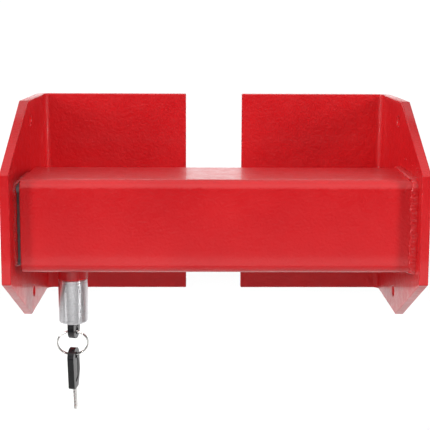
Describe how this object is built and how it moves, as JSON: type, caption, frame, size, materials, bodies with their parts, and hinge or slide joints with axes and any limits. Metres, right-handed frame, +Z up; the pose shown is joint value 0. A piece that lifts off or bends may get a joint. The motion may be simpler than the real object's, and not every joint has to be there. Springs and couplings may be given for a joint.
{
  "type": "shipping container door lock",
  "caption": "Two bent steel brackets on telescoping square tubes clamp two door locking bars; a keyed bolt under the outer tube fixes the width.",
  "frame": {"origin": "midway between the two bar channels, at the tube's mid height", "axes": "+X from the sliding bracket to the fixed bracket, +Y from the front to the door, +Z up along the locking bars"},
  "size_m": [0.356, 0.188, 0.2825],
  "materials": {
    "red_coat": "glossy powder coat with fine orange peel",
    "zinc_steel": "zinc plated",
    "barrel_metal": "satin turned",
    "dark_steel": "black oxide",
    "bolt_steel": "ground",
    "lock_brass": "turned",
    "key_nickel": "nickel plated",
    "key_plastic": "glossy"
  },
  "bodies": {
    "housing": {"housing_bracket": "red_coat", "outer_tube": "red_coat", "housing_weld": "red_coat", "lock_collar": "red_coat", "collar_weld": "red_coat", "lock_barrel": "barrel_metal", "barrel_grub_screw": "dark_steel", "bolt_guide_screw": "dark_steel"},
    "slider": {"slider_bracket": "red_coat", "inner_tube": "zinc_steel", "slider_weld": "red_coat"},
    "core": {"lock_core": "lock_brass", "anti_drill_plate": "bolt_steel", "detainer_discs": "lock_brass", "disc_spacers": "bolt_steel", "sidebar": "bolt_steel", "core_circlip": "dark_steel", "drive_stud": "bolt_steel"},
    "bolt": {"locking_bolt": "bolt_steel"},
    "key": {"key_blade": "key_nickel", "key_head": "key_plastic"},
    "ring": {"key_ring": "key_nickel"},
    "spare_key": {"spare_key_blade": "key_nickel", "spare_key_head": "key_plastic"}
  },
  "joints": [
    {"name": "slider_slide", "type": "slide", "parent": "housing", "child": "slider", "axis": [-1, 0, 0], "range_m": [0, 0.15]},
    {"name": "key_turn", "type": "hinge", "parent": "housing", "child": "core", "pos_m": [-0.126, -0.084, -0.06], "axis": [0, 0, 1], "range_deg": [0, 180]},
    {"name": "bolt_lift", "type": "slide", "parent": "housing", "child": "bolt", "axis": [0, 0, 1], "range_m": [0, 0.0075]},
    {"name": "key_pull", "type": "slide", "parent": "core", "child": "key", "axis": [0, 0, -1], "range_m": [0, 0.05]},
    {"name": "ring_swing", "type": "hinge", "parent": "key", "child": "ring", "pos_m": [-0.126, -0.084, -0.1027], "axis": [0.9816, -0.1908, 0], "range_deg": [-44, 20]},
    {"name": "spare_key_swing", "type": "hinge", "parent": "ring", "child": "spare_key", "pos_m": [-0.1283, -0.07391, -0.12914], "axis": [0.9816, -0.1908, 0], "range_deg": [-30, 30]}
  ],
  "couplings": [
    {"joint": "bolt_lift", "follows": "key_turn", "m_per_rad": 0.0023873}
  ]
}
